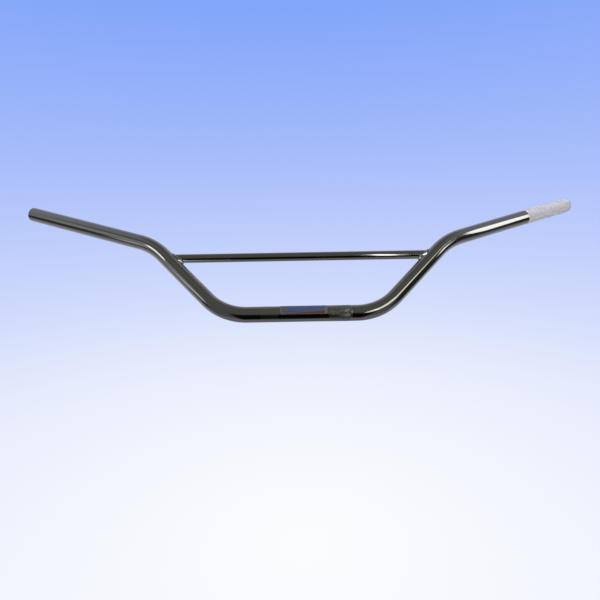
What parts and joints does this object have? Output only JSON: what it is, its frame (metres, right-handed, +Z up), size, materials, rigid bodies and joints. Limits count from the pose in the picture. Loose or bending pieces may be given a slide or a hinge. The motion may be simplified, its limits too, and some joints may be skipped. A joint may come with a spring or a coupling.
{
  "type": "handlebar",
  "caption": "Chromed bent-tube motorcycle handlebar with a welded crossbar between its risers, knurled clamp zones and a blank printed label.",
  "frame": {"origin": "on the main tube's axis, at the middle of its straight centre, where the handlebar clamps hold it", "axes": "+X along the centre tube to the rider's left, +Y back to the rider, +Z up, with the risers leaning 40 degrees back from the vertical as clamped for riding"},
  "size_m": [0.8702, 0.1813, 0.156],
  "materials": {
    "tube_chrome": "bright chrome plate, matt where it is knurled",
    "crossbar_chrome": "bright chrome plate",
    "weld_chrome": "rippled weld bead under chrome plate",
    "label_film": "printed adhesive film, glossy"
  },
  "bodies": {
    "root": {"main_tube": "tube_chrome", "crossbar": "crossbar_chrome", "weld_bead_left": "weld_chrome", "weld_bead_right": "weld_chrome", "centre_label": "label_film"}
  },
  "joints": []
}
